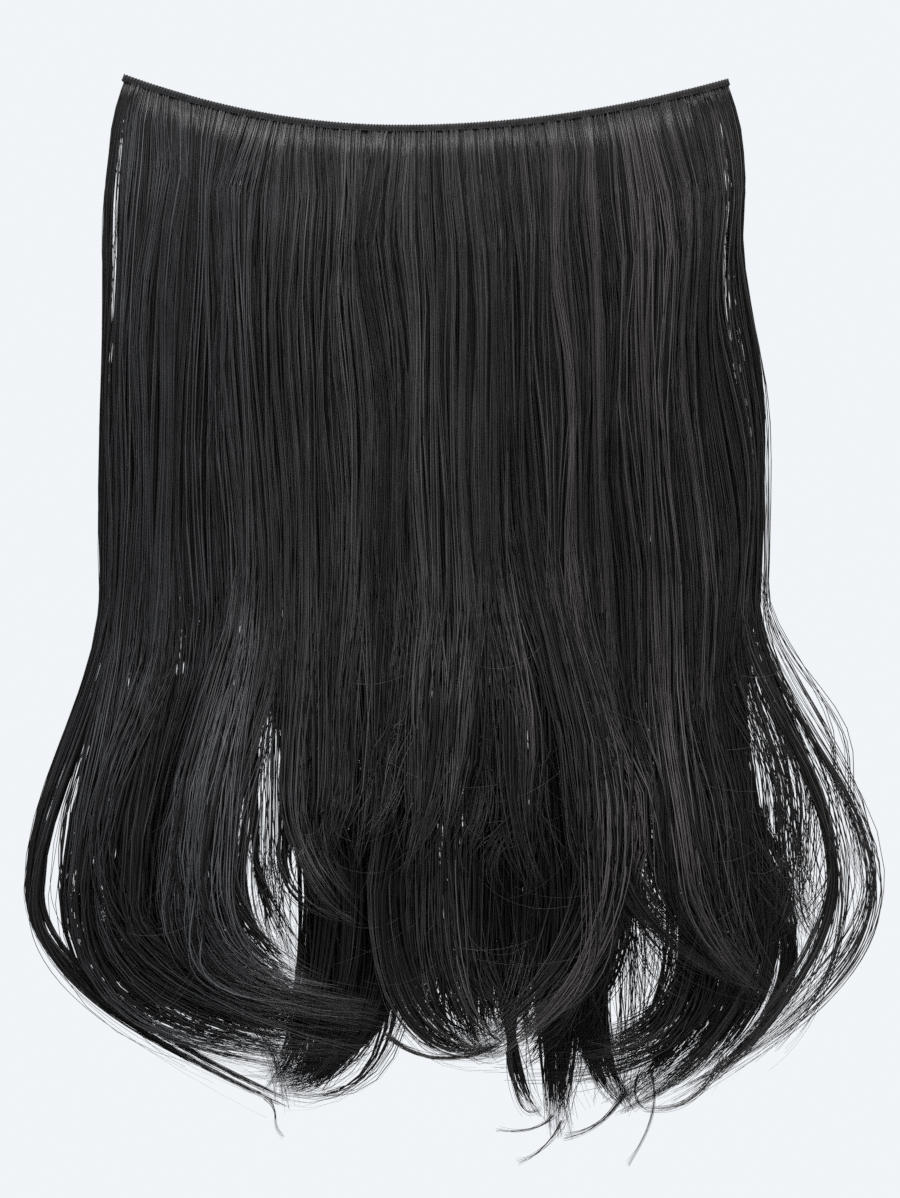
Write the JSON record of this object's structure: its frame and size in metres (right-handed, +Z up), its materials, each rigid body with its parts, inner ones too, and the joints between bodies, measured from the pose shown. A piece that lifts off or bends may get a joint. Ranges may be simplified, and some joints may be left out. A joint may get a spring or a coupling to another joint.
{
  "type": "hair extension",
  "caption": "Wide clip-in hair extension: dark hair sewn along a sagging stitched weft, falling straight and ending in large loose curls, with plain clips behind.",
  "frame": {"origin": "middle of the weft band, in its mid thickness, where the piece is held on the head", "axes": "+Z up, the hair hangs towards -Z; -Y is the front that shows; +Y points to the head, where the clips are; +X runs along the weft to the right"},
  "size_m": [0.3923, 0.065, 0.4913],
  "materials": {
    "weft_thread": "matte twisted thread, stitched over the hair roots",
    "hair": "smooth dark fibre with a soft sheen along the strands",
    "clip_metal": "satin black lacquer on spring steel"
  },
  "bodies": {
    "root": {"weft_band": "weft_thread", "hair": "hair", "clip_1": "clip_metal", "clip_2": "clip_metal", "clip_3": "clip_metal", "clip_4": "clip_metal", "clip_5": "clip_metal"}
  },
  "joints": []
}
